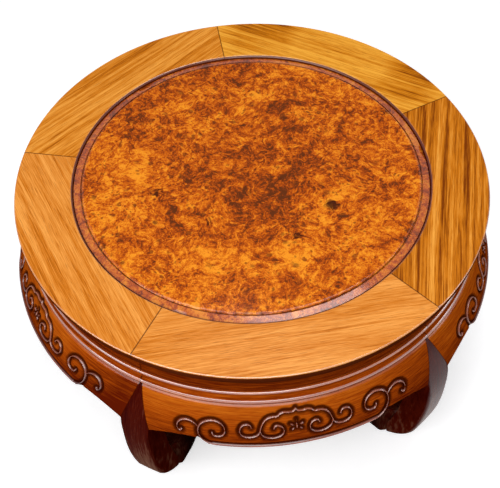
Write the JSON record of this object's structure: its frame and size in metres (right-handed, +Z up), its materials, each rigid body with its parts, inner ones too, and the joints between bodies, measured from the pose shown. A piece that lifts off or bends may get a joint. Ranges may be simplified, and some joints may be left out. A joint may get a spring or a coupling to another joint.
{
  "type": "round coffee table",
  "caption": "Low round Chinese-style coffee table with a burl panel top, waisted and carved apron frame and curved drum legs with scroll feet.",
  "frame": {"origin": "on the floor, on the table's vertical axis", "axes": "+Z up along the table's axis, -Y towards the apron that faces the front, +X to its right"},
  "size_m": [0.9568, 0.965, 0.48],
  "materials": {
    "rim_wood": "satin lacquer",
    "burl": "satin lacquer",
    "frame_wood": "satin lacquer",
    "leg_wood": "satin lacquer",
    "batten_wood": "oiled"
  },
  "bodies": {
    "root": {"panel_batten_1": "batten_wood", "panel_batten_2": "batten_wood", "top_panel": "burl", "waist_1": "frame_wood", "waist_2": "frame_wood", "waist_3": "frame_wood", "waist_4": "frame_wood", "waist_5": "frame_wood", "waist_moulding_1": "frame_wood", "waist_moulding_2": "frame_wood", "waist_moulding_3": "frame_wood", "waist_moulding_4": "frame_wood", "waist_moulding_5": "frame_wood", "apron_1": "frame_wood", "apron_2": "frame_wood", "apron_3": "frame_wood", "apron_4": "frame_wood", "apron_5": "frame_wood", "leg_1": "leg_wood", "leg_2": "leg_wood", "leg_3": "leg_wood", "leg_4": "leg_wood", "leg_5": "leg_wood", "rim_segment_1": "rim_wood", "rim_segment_2": "rim_wood", "rim_segment_3": "rim_wood", "rim_segment_4": "rim_wood", "rim_segment_5": "rim_wood"}
  },
  "joints": []
}
